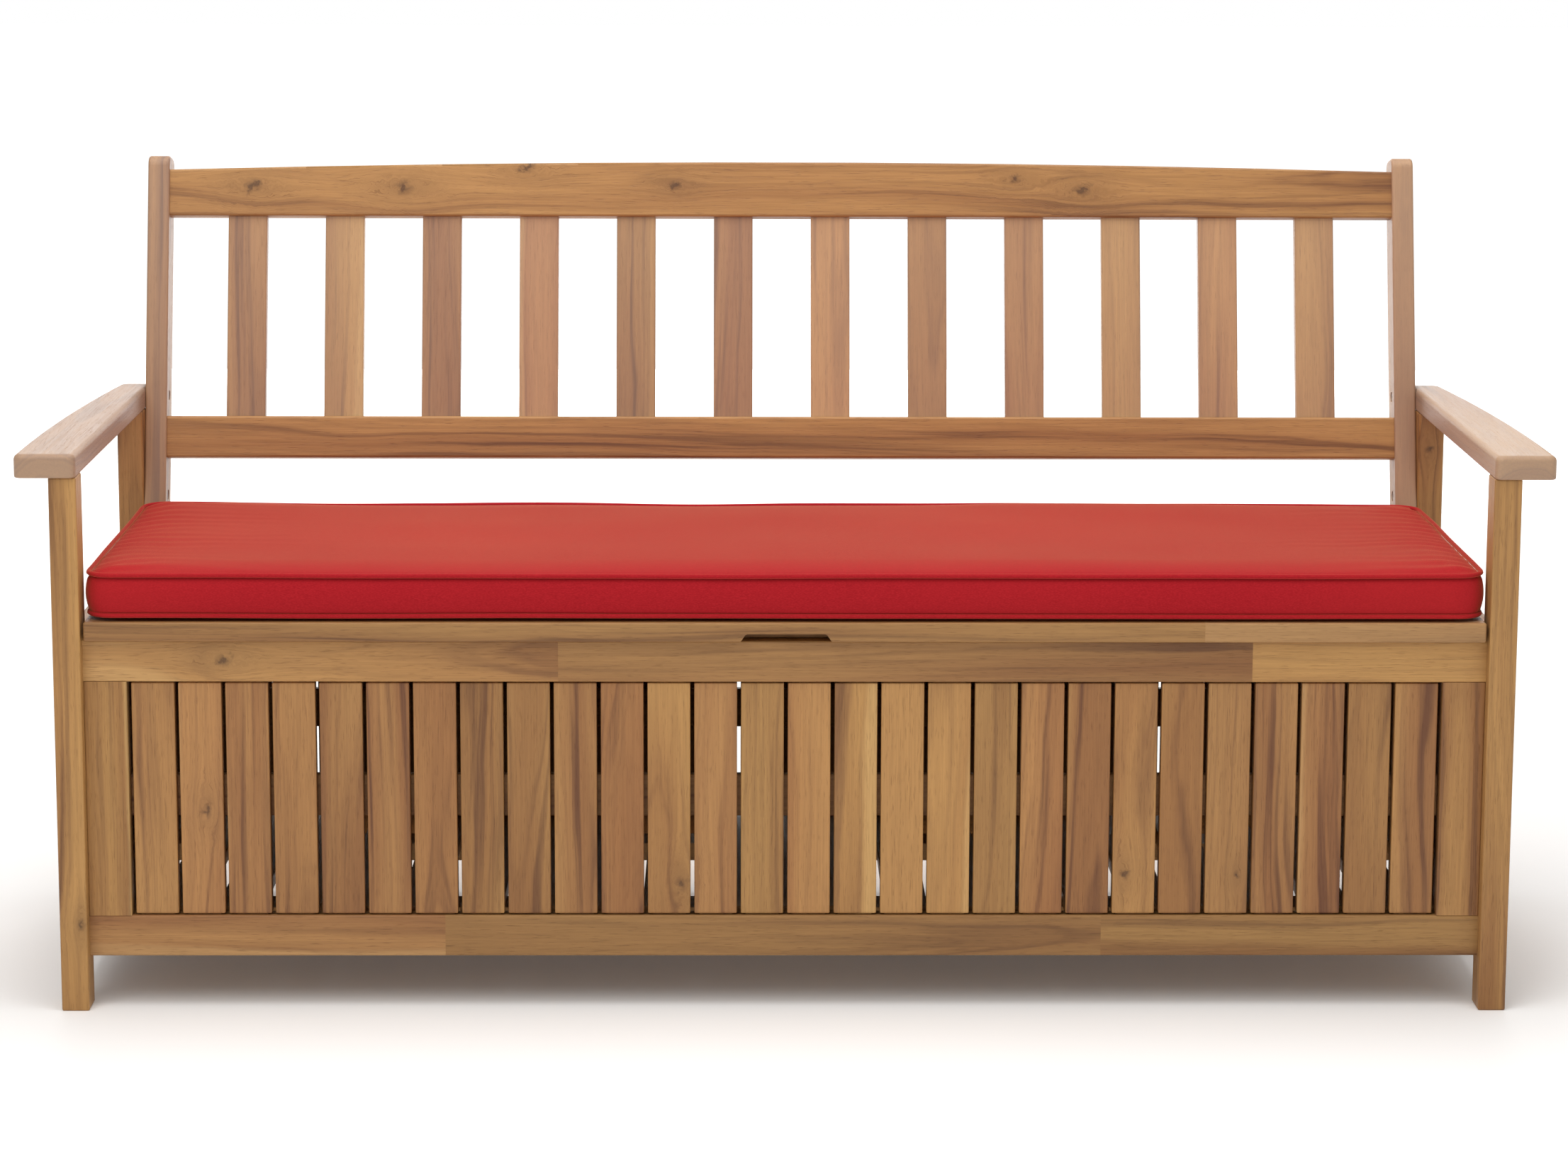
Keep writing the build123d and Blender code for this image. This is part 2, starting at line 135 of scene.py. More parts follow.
# the acacia
acacia = {
    "honey": tint(182, 137, 82),
    "tan": tint(153, 107, 63),
    "umber": tint(94, 57, 37),
    "sapwood": tint(200, 160, 104),
    "knot": tint(62, 40, 30),
    # painted sheen: the pale grey-pink glint that the top light lays on the arms and the back
    "paintedSheen": tint(190, 167, 150),
    "ringSpacing": 0.0058,
    "bumpDepth": 0.0004,
    "lean": math.radians(13.5),     # the back's lean
}


def acaciaGrain():
    # Place is in metres from a board's centre: across it, through it and along its grain
    group = bpy.data.node_groups.new("acaciaGrain", "ShaderNodeTree")
    group.interface.new_socket("Place", in_out="INPUT", socket_type="NodeSocketVector")
    for name in ("Board", "Knot", "Tone", "PaintedSheen"):
        group.interface.new_socket(name, in_out="INPUT", socket_type="NodeSocketFloat")
    for name, kind in (("Color", "Color"), ("Roughness", "Float"), ("Height", "Float")):
        group.interface.new_socket(name, in_out="OUTPUT", socket_type="NodeSocket" + kind)
    given = group.nodes.new("NodeGroupInput").outputs
    result = group.nodes.new("NodeGroupOutput").inputs

    chance = node(group, "TexWhiteNoise", {"W": given["Board"]}, output="Color", noise_dimensions="1D")
    luck = split(group, chance)
    far = vectorCalc(group, "MULTIPLY", chance, (37.0, 41.0, 43.0))
    own = vectorCalc(group, "ADD", given["Place"], far)     # so that each seed has its own figure

    lazy = vectorCalc(group, "MULTIPLY", own, (1.0, 1.0, 0.16))
    sway = vectorCalc(group, "SUBTRACT", speckle(group, lazy, 9.0, output=1), (0.5, 0.5, 0.5))
    wobble = vectorCalc(group, "SUBTRACT", speckle(group, lazy, 48.0, output=1), (0.5, 0.5, 0.5))
    sway = vectorCalc(group, "MULTIPLY", sway, (0.045, 0.045, 0.0))
    wobble = vectorCalc(group, "MULTIPLY", wobble, (0.006, 0.006, 0.0))
    bent = split(group, vectorCalc(group, "ADD", vectorCalc(group, "ADD", given["Place"], sway), wobble))
    along = split(group, own)[2]

    # growth rings about a heart that lies outside the board
    heartX = calc(group, "ADD", bent[0], calc(group, "MULTIPLY_ADD", luck[0], 0.11, -0.055))
    heartY = calc(group, "ADD", bent[1], calc(group, "MULTIPLY_ADD", luck[1], 0.05, 0.022))
    square = calc(group, "MULTIPLY_ADD", heartX, heartX, calc(group, "MULTIPLY", heartY, heartY))
    taper = calc(group, "MULTIPLY", bent[2], calc(group, "MULTIPLY_ADD", luck[2], 0.05, -0.025))
    radius = calc(group, "ADD", calc(group, "SQRT", square), taper)
    wave = calc(group, "SINE", calc(group, "MULTIPLY", radius, 2 * math.pi / acacia["ringSpacing"]))
    ring = calc(group, "POWER", calc(group, "MULTIPLY_ADD", wave, 0.5, 0.5), 3.0)

    follow = vectorCalc(group, "ADD", node(group, "CombineXYZ", {0: radius, 2: along}), far)
    broad = speckle(group, vectorCalc(group, "MULTIPLY", follow, (32.0, 1.0, 1.0)), 1.0)
    narrow = speckle(group, vectorCalc(group, "MULTIPLY", follow, (170.0, 1.0, 2.4)), 1.0, 3.0)
    fibre = speckle(group, vectorCalc(group, "MULTIPLY", own, (1.0, 1.0, 0.022)), 620.0, 3.0)
    pores = speckle(group, vectorCalc(group, "MULTIPLY", own, (1.0, 1.0, 0.05)), 1300.0, 1.0)
    pores = ease(group, pores, 0.6, 0.74)

    colour = mix(group, ease(group, broad, 0.34, 0.68), acacia["honey"], acacia["tan"])
    streak = calc(group, "MULTIPLY", ease(group, narrow, 0.47, 0.7), ease(group, broad, 0.4, 0.6, 0.12, 0.8))
    colour = mix(group, streak, colour, acacia["umber"])
    late = calc(group, "MULTIPLY", ring, ease(group, narrow, 0.3, 0.7, 0.03, 0.2))
    colour = mix(group, late, colour, acacia["umber"])
    sapStart = calc(group, "MULTIPLY_ADD", luck[2], 0.03, 0.068)
    sap = ease(group, calc(group, "SUBTRACT", radius, sapStart), 0.0, 0.005, 0.0, 0.6)
    colour = mix(group, sap, colour, acacia["sapwood"])
    colour = mix(group, calc(group, "MULTIPLY", given["Knot"], 0.85), colour, acacia["knot"])
    lows = {"Red": 0.9, "Green": 0.88, "Blue": 0.85}
    shades = {name: ease(group, fibre, 0.25, 0.75, low, 1.08) for name, low in lows.items()}
    colour = mix(group, 1.0, colour, node(group, "CombineColor", shades), "MULTIPLY")
    colour = mix(group, calc(group, "MULTIPLY", pores, 0.3), colour, acacia["umber"])
    # painted sheen: the pale glint of the top light, mixed into the wood's colour
    colour = mix(group, given["PaintedSheen"], colour, acacia["paintedSheen"])
    value = calc(group, "ADD", calc(group, "MULTIPLY_ADD", luck[1], 0.24, 0.88), given["Tone"])
    hue = calc(group, "MULTIPLY_ADD", luck[0], 0.01, 0.494)
    toned = node(group, "HueSaturation", {"Hue": hue, "Value": value, "Color": colour})
    group.links.new(toned, result["Color"])

    rough = calc(group, "MULTIPLY_ADD", pores, 0.15, ease(group, fibre, 0.2, 0.8, 0.4, 0.52))
    group.links.new(rough, result["Roughness"])
    height = calc(group, "SUBTRACT", calc(group, "MULTIPLY", fibre, 0.5), calc(group, "MULTIPLY", pores, 0.6))
    group.links.new(calc(group, "MULTIPLY_ADD", given["Knot"], 0.5, height), result["Height"])
    return group


acaciaGroup = acaciaGrain()
axisNumber = {"x": 0, "y": 1, "z": 2}


def knotAt(tree, across, along, spot, ragged):
    # pushes the grain aside about a knot, and darkens its core
    x, z, size = spot
    dx = calc(tree, "SUBTRACT", calc(tree, "MULTIPLY_ADD", ragged, size, across), x)
    dz = calc(tree, "SUBTRACT", calc(tree, "MULTIPLY_ADD", ragged, 1.5 * size, along), z)
    wide = calc(tree, "DIVIDE", dx, 2.6 * size)
    tall = calc(tree, "DIVIDE", dz, 6.0 * size)
    reach = calc(tree, "MULTIPLY_ADD", wide, wide, calc(tree, "MULTIPLY", tall, tall))
    swirl = calc(tree, "EXPONENT", calc(tree, "MULTIPLY", reach, -1.0))
    push = calc(tree, "MULTIPLY", calc(tree, "MULTIPLY", dx, swirl), -0.85)
    near = calc(tree, "DIVIDE", dx, size)
    far = calc(tree, "DIVIDE", dz, 1.35 * size)
    away = calc(tree, "SQRT", calc(tree, "MULTIPLY_ADD", near, near, calc(tree, "MULTIPLY", far, far)))
    eye = calc(tree, "MULTIPLY_ADD", calc(tree, "SINE", calc(tree, "MULTIPLY", away, 8.0)), 0.12, 0.55)
    core = calc(tree, "MULTIPLY", ease(tree, away, 0.15, 1.2, 1.0, 0.0), eye)
    return push, calc(tree, "MULTIPLY_ADD", swirl, 0.24, core)


def acaciaFinish(name, axes, seed, tone=0.0, paintedSheen=0.0, boards=1, boardWidth=0.0,
                 joints=(), jointTones=(), spots=(), lean=0.0):
    # axes names what runs across, through and along the board; spots are knots at (across, along, size)
    material, tree, shader, place = newMaterial("acacia_" + name)
    low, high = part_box(name)
    turn = Matrix.Rotation(lean, 3, "X")
    centre = turn @ ((low + high) / 2)
    if lean:
        place = node(tree, "Mapping", {"Vector": place, "Rotation": (lean, 0.0, 0.0)})
    found = split(tree, place)
    across, through, along = (found[axisNumber[a]] for a in axes)
    middle = [centre[axisNumber[a]] for a in axes]

    number, centred = float(seed), calc(tree, "SUBTRACT", across, middle[0])
    if boards > 1:
        start, end = low[axisNumber[axes[0]]], high[axisNumber[axes[0]]]
        pitch = (end - start - boardWidth) / (boards - 1)
        fromEdge = calc(tree, "SUBTRACT", across, start - (pitch - boardWidth) / 2)
        index = calc(tree, "FLOOR", calc(tree, "DIVIDE", fromEdge, pitch))
        number = calc(tree, "ADD", index, float(seed))
        boardMiddle = calc(tree, "MULTIPLY_ADD", index, pitch, start + boardWidth / 2)
        centred = calc(tree, "SUBTRACT", across, boardMiddle)
    for joint, step in zip(joints, jointTones):
        past = calc(tree, "GREATER_THAN", along, joint)
        number = calc(tree, "ADD", number, past)
        tone = calc(tree, "MULTIPLY_ADD", past, step, tone)

    knot = 0.0
    if spots:
        ragged = calc(tree, "MULTIPLY_ADD", speckle(tree, place, 130.0, 3.0), 2.4, -1.2)
    for spot in spots:
        push, dark = knotAt(tree, across, along, spot, ragged)
        centred = calc(tree, "ADD", centred, push)
        knot = calc(tree, "MAXIMUM", knot, dark)

    deep, far = calc(tree, "SUBTRACT", through, middle[1]), calc(tree, "SUBTRACT", along, middle[2])
    local = {0: centred, 1: deep, 2: far}
    figure = tree.nodes.new("ShaderNodeGroup")
    figure.node_tree = acaciaGroup
    tree.links.new(node(tree, "CombineXYZ", local), figure.inputs["Place"])
    for key, value in (("Board", number), ("Knot", knot), ("Tone", tone), ("PaintedSheen", paintedSheen)):
        if isinstance(value, bpy.types.NodeSocket):
            tree.links.new(value, figure.inputs[key])
        else:
            figure.inputs[key].default_value = value
    tree.links.new(figure.outputs["Color"], shader.inputs["Base Color"])
    tree.links.new(figure.outputs["Roughness"], shader.inputs["Roughness"])
    relief = {"Height": figure.outputs["Height"], "Distance": acacia["bumpDepth"], "Strength": 0.6}
    tree.links.new(node(tree, "Bump", relief), shader.inputs["Normal"])
    shader.inputs["Specular IOR Level"].default_value = 0.36
    dress(name, material)


def dress(name, material):
    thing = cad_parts[name]
    if not thing.material_slots:
        thing.data.materials.append(material)
    for slot in thing.material_slots:
        slot.material = material


slatWidth = 0.045
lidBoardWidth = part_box("lid_front_board")[1].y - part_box("lid_front_board")[0].y
leaning = acacia["lean"]

# legs, arms and the back's frame
legs = {
    "front_leg_left": {"seed": 3, "spots": [(-0.742, 0.095, 0.005)]},
    "front_leg_right": {"seed": 8},
    "rear_leg_left": {"seed": 14},
    "rear_leg_right": {"seed": 19, "spots": [(0.748, 0.53, 0.005)]},
}
for name, look in legs.items():
    acaciaFinish(name, "xyz", **look)
# the arms and the back's stiles get painted sheen mixed into their colour
for seed, side in ((24, "left"), (29, "right")):
    acaciaFinish("armrest_" + side, "xzy", seed, tone=-0.11, paintedSheen=0.5)
    acaciaFinish("back_stile_" + side, "xyz", seed + 2, tone=0.02, paintedSheen=0.35, lean=leaning)

# the back's rails and slats
backRails = {
    "back_lower_rail": {"seed": 41, "tone": -0.04},
    "back_top_rail": {"seed": 47, "tone": 0.02, "spots": []},
}
railLow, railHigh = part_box("back_top_rail")
railMiddle = (Matrix.Rotation(leaning, 3, "X") @ ((railLow + railHigh) / 2)).z
for x, rise, size in ((-0.614, 0.003, 0.008), (-0.44, 0.001, 0.009), (-0.297, 0.024, 0.007),
                      (-0.125, 0.004, 0.006), (0.271, 0.012, 0.006), (0.349, -0.001, 0.008)):
    backRails["back_top_rail"]["spots"].append((railMiddle + rise, x, size))
for name, look in backRails.items():
    acaciaFinish(name, "zyx", lean=leaning, **look)
# the back's slats get a little painted sheen mixed into their colour
for i in range(1, 13):
    acaciaFinish(f"back_slat_{i:02d}", "xyz", 60 + i, tone=0.03, paintedSheen=0.25, lean=leaning)

# the four slatted panels
panelRails = {
    "front_panel_top_rail": {"seed": 82, "tone": -0.02, "joints": (-0.239, 0.49), "jointTones": (-0.1, 0.14),
                             "spots": [(0.376, -0.589, 0.007)]},
    # the bottom rail's darker tone is painted shade, as the light falls off towards the bottom; its joint
    # steps are the lamellae's own colours
    "front_panel_bottom_rail": {"seed": 91, "tone": -0.14,
                                "joints": (-0.36, 0.335), "jointTones": (-0.19, 0.17)},
    "rear_panel_top_rail": {"seed": 97, "joints": (-0.18, 0.41), "jointTones": (-0.05, 0.04),
                            "spots": [(0.37, 0.22, 0.007)]},
    "rear_panel_bottom_rail": {"seed": 104, "joints": (0.12,), "jointTones": (-0.06,)},
    "front_panel_mid_batten": {"seed": 111},
    "rear_panel_mid_batten": {"seed": 114},
}
for name, look in panelRails.items():
    acaciaFinish(name, "zyx", **look)
frontKnots = [(-0.609, 0.214, 0.006), (-0.11, 0.134, 0.007), (0.359, 0.144, 0.006), (0.479, 0.144, 0.004)]
rearKnots = [(-0.3, 0.3, 0.006), (0.16, 0.17, 0.006), (0.56, 0.25, 0.005)]
# the front slats' slightly darker tone is painted shade of the dimmer lower front
acaciaFinish("front_panel_slats", "xyz", 120, tone=-0.05, boards=28, boardWidth=slatWidth, spots=frontKnots)
acaciaFinish("rear_panel_slats", "xyz", 160, boards=28, boardWidth=slatWidth, spots=rearKnots)
for seed, side in ((200, "left"), (220, "right")):
    acaciaFinish("side_slats_" + side, "yxz", seed, boards=8, boardWidth=slatWidth)
    acaciaFinish("side_top_rail_" + side, "zxy", seed + 10)
    acaciaFinish("side_bottom_rail_" + side, "zxy", seed + 12)
    acaciaFinish("side_mid_batten_" + side, "zxy", seed + 14)
    acaciaFinish("front_panel_stile_" + side, "xyz", seed + 15)
    acaciaFinish("rear_panel_stile_" + side, "xyz", seed + 16)

# the floor, the lid and the rail that it hangs on
acaciaFinish("floor_slats", "xzy", 250, boards=23, boardWidth=slatWidth)
acaciaFinish("floor_battens", "yzx", 280)
# the lid's front board's darker tone is painted shade of the dim light under the cushion's overhang; its
# joint step is the board's own
acaciaFinish("lid_front_board", "yzx", 288, tone=-0.25, joints=(0.438,), jointTones=(-0.05,))
acaciaFinish("lid_boards", "yzx", 291, tone=0.03, boards=6, boardWidth=lidBoardWidth)
acaciaFinish("lid_battens", "xzy", 301, boards=4, boardWidth=slatWidth)
acaciaFinish("hinge_rail", "yzx", 307)
acaciaFinish("dowels", "xyz", 311, tone=0.2)
print("acacia laid on every timber")


# the steel fittings
steels = {
    "zincSteel": {"colour": tint(186, 188, 190), "grit": 900.0, "roughness": (0.28, 0.42),
                  "nodes": ("frame_bolts", "barrel_nuts", "hinge_rail_screws", "lid_screws")},
    "hingeSteel": {"colour": tint(168, 166, 160), "grit": 400.0, "roughness": (0.32, 0.5),
                   "nodes": ("hinge_fixed_leaves", "hinge_lid_leaves", "hinge_pins")},
}
for name, look in steels.items():
    material, tree, shader, place = newMaterial(name)
    grit = speckle(tree, place, look["grit"], 3.0)
    spangle = speckle(tree, place, look["grit"] / 6, 1.0)
    dull = [v * 0.8 for v in look["colour"][:3]] + [1]
    metal = mix(tree, ease(tree, spangle, 0.4, 0.6), look["colour"], dull)
    tree.links.new(metal, shader.inputs["Base Color"])
    tree.links.new(ease(tree, grit, 0.3, 0.7, *look["roughness"]), shader.inputs["Roughness"])
    tree.links.new(node(tree, "Bump", {"Height": grit, "Distance": 0.00005}), shader.inputs["Normal"])
    shader.inputs["Metallic"].default_value = 1.0
    for fitting in look["nodes"]:
        dress(fitting, material)
print("steel fittings finished")


# the cushion
pad = {
    "halfWidth": 0.7305,            # out to the middle of the piping
    "frontGap": 0.0025,             # from the cushion's front to the middle of the piping
    "corner": 0.027,
    "lowPiping": 0.0055,            # middle of each piping above the cushion's underside
    "highPiping": 0.0482,
    "pipingRadius": 0.0026,
    "voxel": 0.0052,
    "pressure": 4.0,
    "frames": 20,
    "crown": 0.0085,                # how far the top may rise above its seam
    "sag": 0.0048,                  # how far the underside may drop below its seam
    "bulge": 0.0045,                # how far the band may stand out
    "seamHold": 0.0055,             # cloth this near to a seam stays where it is sewn
    "seamReach": 0.05,              # how far from a seam the foam needs to stand at its full height
    "pucker": 0.0021,               # half the height of the folds at the two ends
    "puckerSpacing": 0.026,
}
padLow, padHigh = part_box("cushion")
padMiddle = (padLow + padHigh) / 2
padDepth = padHigh.y - padLow.y - 2 * pad["frontGap"]
padSize = Vector((2 * pad["halfWidth"], padDepth, pad["highPiping"] - pad["lowPiping"]))
seamLow = padLow.z + pad["lowPiping"]
seamHigh = padLow.z + pad["highPiping"]


def ripple(x, y, upper):
    # the seams wander a little, as sewn piping does
    wander = noise.noise(Vector((x * 5.0, y * 7.0, 3.1 if upper else 8.7)))
    return wander * (0.0022 if upper else 0.0006)


def carryRipple(spot):
    share = min(1.0, max(0.0, (spot.z - seamLow) / (seamHigh - seamLow)))
    spot.z += share * ripple(spot.x, spot.y, True) + (1 - share) * ripple(spot.x, spot.y, False)


def seamDistance(x, y, z):
    # how far a point is from the nearer of the two seams
    halfX, halfY, corner = padSize.x / 2 - pad["corner"], padSize.y / 2 - pad["corner"], pad["corner"]
    dx, dy = max(0.0, abs(x - padMiddle.x) - halfX), max(0.0, abs(y - padMiddle.y) - halfY)
    if dx or dy:
        outward = abs(math.hypot(dx, dy) - corner)
    else:
        outward = min(halfX - abs(x - padMiddle.x), halfY - abs(y - padMiddle.y)) + corner
    return math.hypot(outward, min(abs(z - seamLow), abs(z - seamHigh)))


def outward(spot):
    # the level direction straight out through the band
    dx = spot.x - padMiddle.x - math.copysign(padSize.x / 2 - pad["corner"], spot.x - padMiddle.x)
    dy = spot.y - padMiddle.y - math.copysign(padSize.y / 2 - pad["corner"], spot.y - padMiddle.y)
    dx = 0.0 if dx * (spot.x - padMiddle.x) < 0 else dx
    dy = 0.0 if dy * (spot.y - padMiddle.y) < 0 else dy
    return Vector((dx, dy, 0.0)).normalized()


def padShell():
    clearSelection()
    middle = (padMiddle.x, padMiddle.y, (seamLow + seamHigh) / 2)
    bpy.ops.mesh.primitive_cube_add(size=1, location=middle, scale=padSize)
    shell = bpy.context.object
    shell.name = "cushion_cover"
    bpy.ops.object.transform_apply(location=True, rotation=True, scale=True)
    pickEdges(shell, lambda a, b: abs(a.z - b.z) > 0.01)
    bpy.ops.mesh.bevel(offset=pad["corner"], segments=6, affect="EDGES")
    bpy.ops.object.mode_set(mode="OBJECT")
    remesh = shell.modifiers.new("Weave", "REMESH")
    remesh.mode = "VOXEL"
    remesh.voxel_size = pad["voxel"]
    applyModifiers(shell)
    return shell


def blowUp(shell):
    hold = shell.vertex_groups.new(name="sewn")
    hold.add([v.index for v in shell.data.vertices if seamDistance(*v.co) < pad["seamHold"]], 1.0, "REPLACE")
    slack = shell.vertex_groups.new(name="slack")
    for v in shell.data.vertices:
        slack.add([v.index], math.exp(-(padSize.x / 2 - abs(v.co.x)) / 0.05), "REPLACE")
    cloth = shell.modifiers.new("Cloth", "CLOTH")
    cloth.settings.quality = 4
    cloth.settings.mass = 0.25
    cloth.settings.vertex_group_mass = "sewn"
    cloth.settings.vertex_group_shrink = "slack"
    cloth.settings.shrink_min = 0.0
    cloth.settings.shrink_max = -0.06
    cloth.settings.use_pressure = True
    cloth.settings.uniform_pressure_force = pad["pressure"]
    cloth.settings.effector_weights.gravity = 0
    cloth.collision_settings.use_collision = False
    for moment in range(1, pad["frames"] + 1):
        bpy.context.scene.frame_set(moment)
    applyModifiers(shell)
    shell.vertex_groups.clear()


def fill(shell, before):
    # the foam sets the crown, the sag and the band; the blown cloth adds a share of its own
    for v, start in zip(shell.data.vertices, before):
        free = min(1.0, max(0.0, seamDistance(*start) - pad["seamHold"] * 0.6) / pad["seamReach"])
        free = free * (2 - free)
        move = v.co - start
        if start.z > seamHigh - 0.003:
            lump = noise.noise(Vector((start.x * 3.1, start.y * 4.3, 1.7)))
            rise = pad["crown"] * free * (0.86 + 0.4 * lump)
            move = Vector((move.x * 0.2, move.y * 0.2, rise + 0.2 * math.tanh(move.z / 0.02) * pad["crown"]))
        elif start.z < seamLow + 0.003:
            move = Vector((0.0, 0.0, -pad["sag"] * min(1.0, free * 2.2)))
        else:
            share = math.sin(math.pi * min(1.0, max(0.0, (start.z - seamLow) / (seamHigh - seamLow))))
            loose = 0.75 + 0.25 * math.tanh(move.length / pad["bulge"]) + 0.5 * noise.noise(start * 4.0)
            move = outward(start) * pad["bulge"] * share * loose
        v.co = start + move
        if v.co.z > seamHigh:
            inside = padSize.x / 2 - abs(v.co.x)
            stray = noise.noise(Vector((v.co.y * 16.0, 4.0 * math.copysign(1.0, v.co.x), 0.5)))
            reach = 0.03 + 0.03 * (stray + 0.5)
            pucker = math.exp(-inside / reach) * (1 - math.exp(-inside / 0.006))
            angle = v.co.y * 2 * math.pi / pad["puckerSpacing"] + inside * 22 + 3.4 * noise.noise(v.co * 14.0)
            v.co.z += pad["pucker"] * pucker * math.sin(angle)
        carryRipple(v.co)


def cushionCover():
    shell = padShell()
    before = [v.co.copy() for v in shell.data.vertices]
    blowUp(shell)
    fill(shell, before)
    makeActive(shell)
    bpy.ops.object.shade_smooth()
    return shell


def pipingRing(name, height, upper):
    clearSelection()
    bpy.ops.mesh.primitive_plane_add(size=1, location=(padMiddle.x, padMiddle.y, height))
    ring = bpy.context.object
    ring.name = name
    ring.scale = (padSize.x, padSize.y, 1.0)
    bpy.ops.object.transform_apply(location=True, rotation=True, scale=True)
    bpy.ops.object.mode_set(mode="EDIT")
    bpy.ops.mesh.select_all(action="SELECT")
    bpy.ops.mesh.bevel(offset=pad["corner"], segments=6, affect="VERTICES")
    bpy.ops.mesh.select_all(action="SELECT")
    bpy.ops.mesh.delete(type="ONLY_FACE")
    for cuts in (11, 9):
        pickEdges(ring, lambda a, b: (a - b).length > 0.03)
        bpy.ops.mesh.subdivide(number_cuts=cuts)
    bpy.ops.object.mode_set(mode="OBJECT")
    for v in ring.data.vertices:
        v.co.z += ripple(v.co.x, v.co.y, upper)
    makeActive(ring)
    bpy.ops.object.convert(target="CURVE")
    ring = bpy.context.object
    ring.data.bevel_depth = pad["pipingRadius"]
    ring.data.bevel_resolution = 3
    bpy.ops.object.convert(target="MESH")
    ring = bpy.context.object
    bpy.ops.object.shade_smooth()
    return ring


def canvasMaterial():
    material, tree, shader, place = newMaterial("redCanvas")
    red = {
        "thread": tint(178, 26, 36),
        "deep": tint(156, 14, 26),
        # painted sheen: the lighter red of broad patches where light lies on the cushion's gentle undulations
        "sheenPatch": tint(186, 40, 38),
        "threads": 1500.0,
    }
    spot = split(tree, place)
    facing = split(tree, node(tree, "NewGeometry", {}, output="Normal"))
    flat = ease(tree, calc(tree, "ABSOLUTE", facing[2]), 0.45, 0.7)
    warp = calc(tree, "SINE", calc(tree, "MULTIPLY", spot[0], red["threads"] * 2 * math.pi / 1.6))
    second = node(tree, "Mix", {0: flat, 2: spot[2], 3: spot[1]}, data_type="FLOAT")
    weft = calc(tree, "SINE", calc(tree, "MULTIPLY", second, red["threads"] * 2 * math.pi / 1.6))
    weave = calc(tree, "MULTIPLY_ADD", calc(tree, "MULTIPLY", warp, weft), 0.5, 0.5)
    slub = speckle(tree, vectorCalc(tree, "MULTIPLY", place, (1.0, 4.0, 4.0)), 420.0, 3.0)
    # broad lighter patches are painted sheen, standing in for light lying unevenly over the cushion
    sheenCloud = speckle(tree, place, 2.6, 3.0)
    colour = mix(tree, ease(tree, slub, 0.35, 0.7), red["deep"], red["thread"])
    colour = mix(tree, ease(tree, sheenCloud, 0.4, 0.75, 0.0, 0.35), colour, red["sheenPatch"])
    colour = mix(tree, ease(tree, weave, 0.0, 1.0, 0.25, 0.0), colour, red["deep"])
    tree.links.new(colour, shader.inputs["Base Color"])
    shader.inputs["Roughness"].default_value = 0.85
    shader.inputs["Specular IOR Level"].default_value = 0.2
    shader.inputs["Sheen Weight"].default_value = 0.75
    shader.inputs["Sheen Roughness"].default_value = 0.35
    shader.inputs["Sheen Tint"].default_value = tint(255, 168, 120)
    height = calc(tree, "MULTIPLY_ADD", slub, 0.6, weave)
    fine = node(tree, "Bump", {"Height": height, "Distance": 0.00018, "Strength": 0.5})
    tree.links.new(fine, shader.inputs["Normal"])
    return material


canvas = canvasMaterial()
cover = cushionCover()
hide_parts("cushion")
topPiping = pipingRing("cushion_piping_top", seamHigh, True)
bottomPiping = pipingRing("cushion_piping_bottom", seamLow, False)
for piece in (cover, topPiping, bottomPiping):
    piece.data.materials.clear()
    piece.data.materials.append(canvas)
    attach(piece, "cushion")
    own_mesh(piece)
print("cushion sewn and filled:", len(cover.data.vertices), "points")


# the camera
view = {
    "place": (-0.0516, -4.3014, 1.244),
    "yaw": math.radians(0.694),         # to the right
    "pitch": math.radians(9.279),       # down
    "roll": math.radians(0.184),
    "lens": 90.03,
    "shift": -0.08,
}
camera = bpy.data.objects.new("camera", bpy.data.cameras.new("camera"))
bpy.context.scene.collection.objects.link(camera)
aim = Matrix.Rotation(-view["yaw"], 3, "Z") @ Matrix.Rotation(math.pi / 2 - view["pitch"], 3, "X")
camera.rotation_euler = (aim @ Matrix.Rotation(view["roll"], 3, "Z")).to_euler()
camera.location = view["place"]
camera.data.lens = view["lens"]
camera.data.sensor_width = 36.0
camera.data.shift_y = view["shift"]
bpy.context.scene.camera = camera


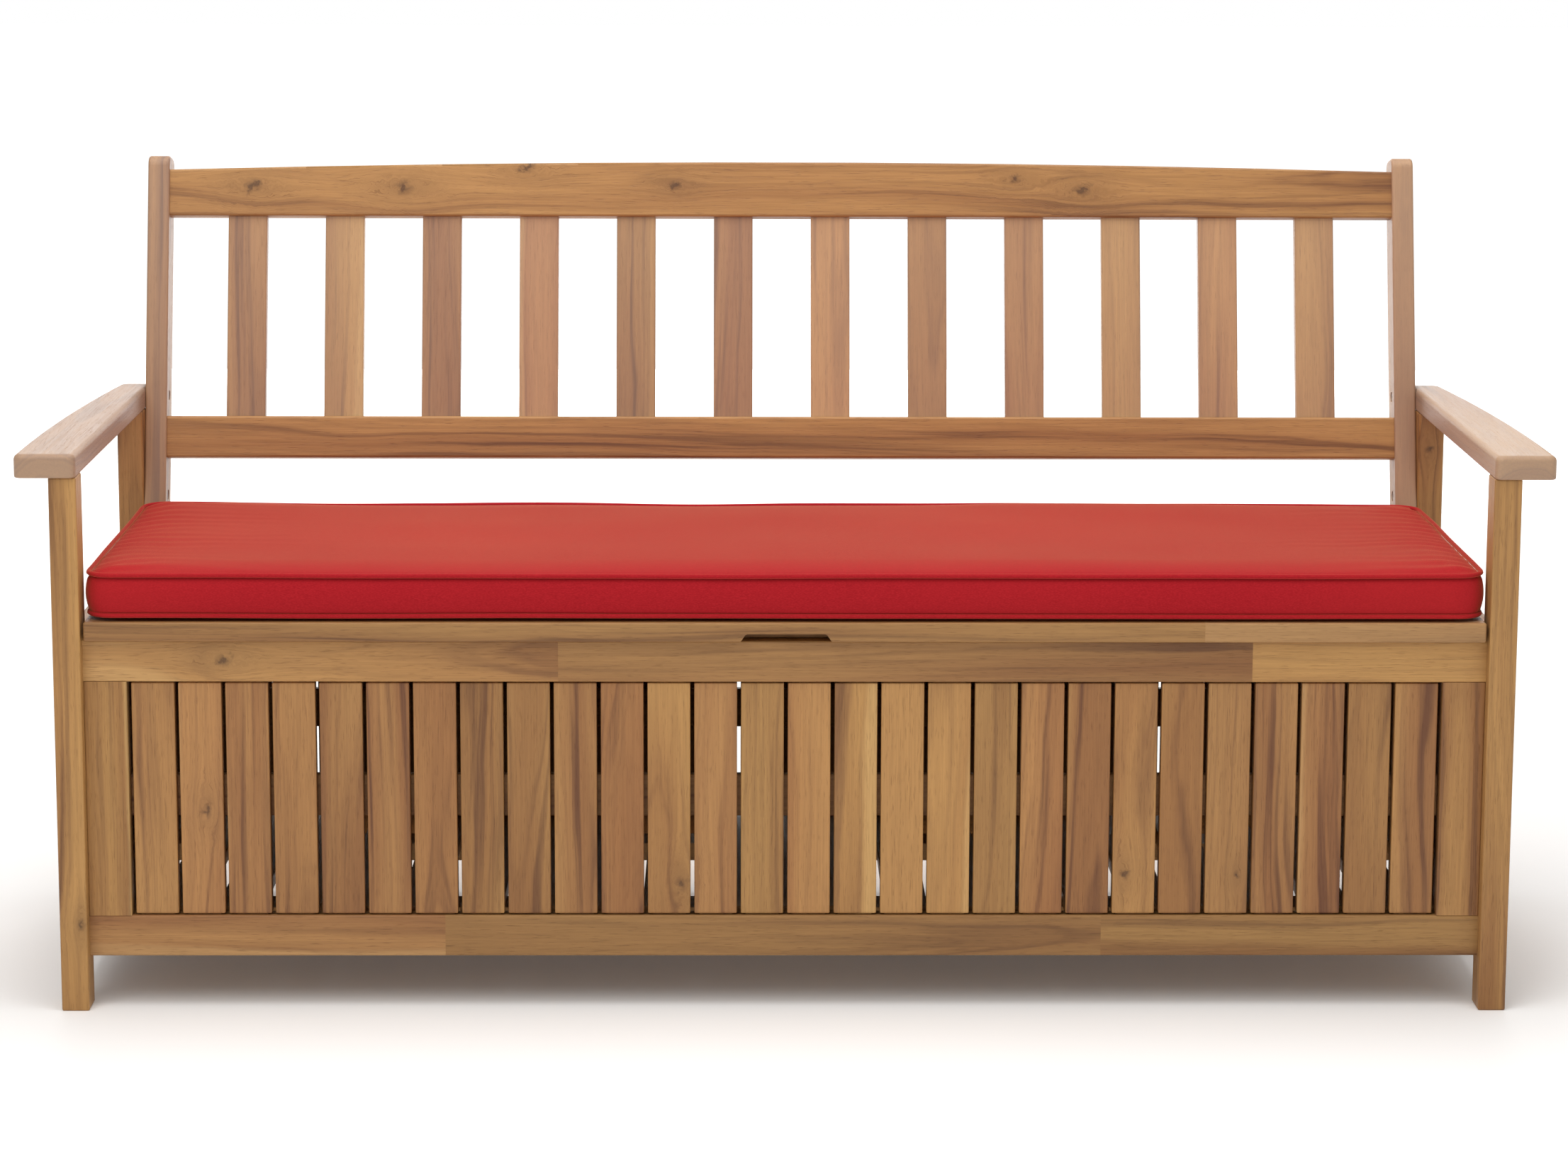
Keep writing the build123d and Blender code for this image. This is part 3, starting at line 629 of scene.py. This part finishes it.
# the floor and the light
studio = {
    "floorSize": 40.0,
    "floorColour": (0.93, 0.93, 0.93, 1.0),
    "floorGlow": (0.04, 0.78),      # close to the bench, and far off
    "skyStrength": 0.36,
}
clearSelection()
bpy.ops.mesh.primitive_plane_add(size=studio["floorSize"], location=(0, 0, 0))
floor = bpy.context.object
floor.name = "studio_floor"
floorMaterial, tree, shader, place = newMaterial("studioFloor")
shader.inputs["Base Color"].default_value = studio["floorColour"]
shader.inputs["Emission Color"].default_value = (1.0, 1.0, 1.0, 1.0)
away = node(tree, "VectorMath", {0: place}, output="Value", operation="LENGTH")
tree.links.new(ease(tree, away, 0.8, 5.0, *studio["floorGlow"]), shader.inputs["Emission Strength"])
shader.inputs["Roughness"].default_value = 0.9
shader.inputs["Specular IOR Level"].default_value = 0.1
floor.data.materials.append(floorMaterial)

world = bpy.data.worlds.new("studio")
bpy.context.scene.world = world
world.use_nodes = True
tree = world.node_tree
tree.nodes.clear()
glow = node(tree, "Background", {"Color": (1.0, 0.985, 0.965, 1.0), "Strength": studio["skyStrength"]})
white = node(tree, "Background", {"Color": (1.0, 1.0, 1.0, 1.0), "Strength": 1.0})
seen = node(tree, "LightPath", {}, output="Is Camera Ray")
sky = node(tree, "MixShader", {0: seen, 1: glow, 2: white})
tree.links.new(sky, tree.nodes.new("ShaderNodeOutputWorld").inputs["Surface"])

lamps = {
    "key": {"place": (-1.4, -2.6, 3.2), "size": 2.4, "power": 46.0, "colour": (1.0, 0.985, 0.96)},
    "fill": {"place": (2.0, -2.6, 2.4), "size": 2.4, "power": 10.0, "colour": (1.0, 0.985, 0.97)},
    "top": {"place": (0.0, -0.2, 3.2), "size": 2.6, "power": 78.0, "colour": (1.0, 0.985, 0.97)},
    "sweep": {"place": (0.0, 4.2, 1.6), "size": 4.0, "power": 110.0, "colour": (1.0, 1.0, 1.0)},
}
for name, look in lamps.items():
    lamp = bpy.data.objects.new(name, bpy.data.lights.new(name, "AREA"))
    bpy.context.scene.collection.objects.link(lamp)
    lamp.data.size = look["size"]
    lamp.data.energy = look["power"]
    lamp.data.color = look["colour"]
    lamp.location = look["place"]
    lamp.visible_camera = False
    lamp.rotation_euler = (Vector((0, 0, 0.45)) - lamp.location).to_track_quat("-Z", "Y").to_euler()
bpy.context.scene.view_settings.view_transform = "Standard"
print("camera, floor and lights set")
